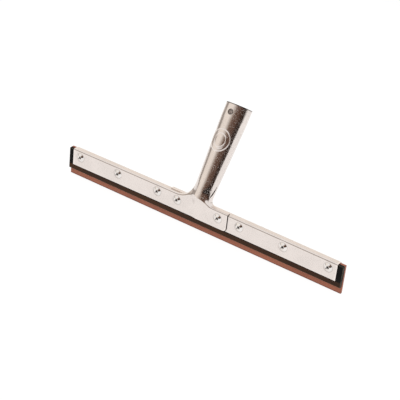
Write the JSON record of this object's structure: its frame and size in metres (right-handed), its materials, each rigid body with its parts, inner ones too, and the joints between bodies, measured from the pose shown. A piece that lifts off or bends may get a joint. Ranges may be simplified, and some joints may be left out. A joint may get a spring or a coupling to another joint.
{
  "type": "window squeegee head",
  "caption": "Window cleaning squeegee head: riveted pressed-steel channel and tapered handle socket clamping a red wiping strip and a black backing strip.",
  "frame": {"origin": "middle of the wiping edge, which is the lower face of the red wiping strip", "axes": "+X along the blade, -Y towards the front of the head, +Z from the wiping edge up towards the handle"},
  "size_m": [0.305, 0.0654, 0.1157],
  "materials": {
    "plated_steel": "bright plated",
    "rivet_steel": "bright plated",
    "black_rubber": "matte",
    "red_rubber": "matte"
  },
  "bodies": {
    "root": {"front_frame_half": "plated_steel", "rear_frame_half": "plated_steel", "cushion_strip": "black_rubber", "wiping_strip": "red_rubber", "rivet_1": "rivet_steel", "rivet_2": "rivet_steel", "rivet_3": "rivet_steel", "rivet_4": "rivet_steel", "rivet_5": "rivet_steel", "rivet_6": "rivet_steel", "rivet_7": "rivet_steel", "rivet_8": "rivet_steel"}
  },
  "joints": []
}
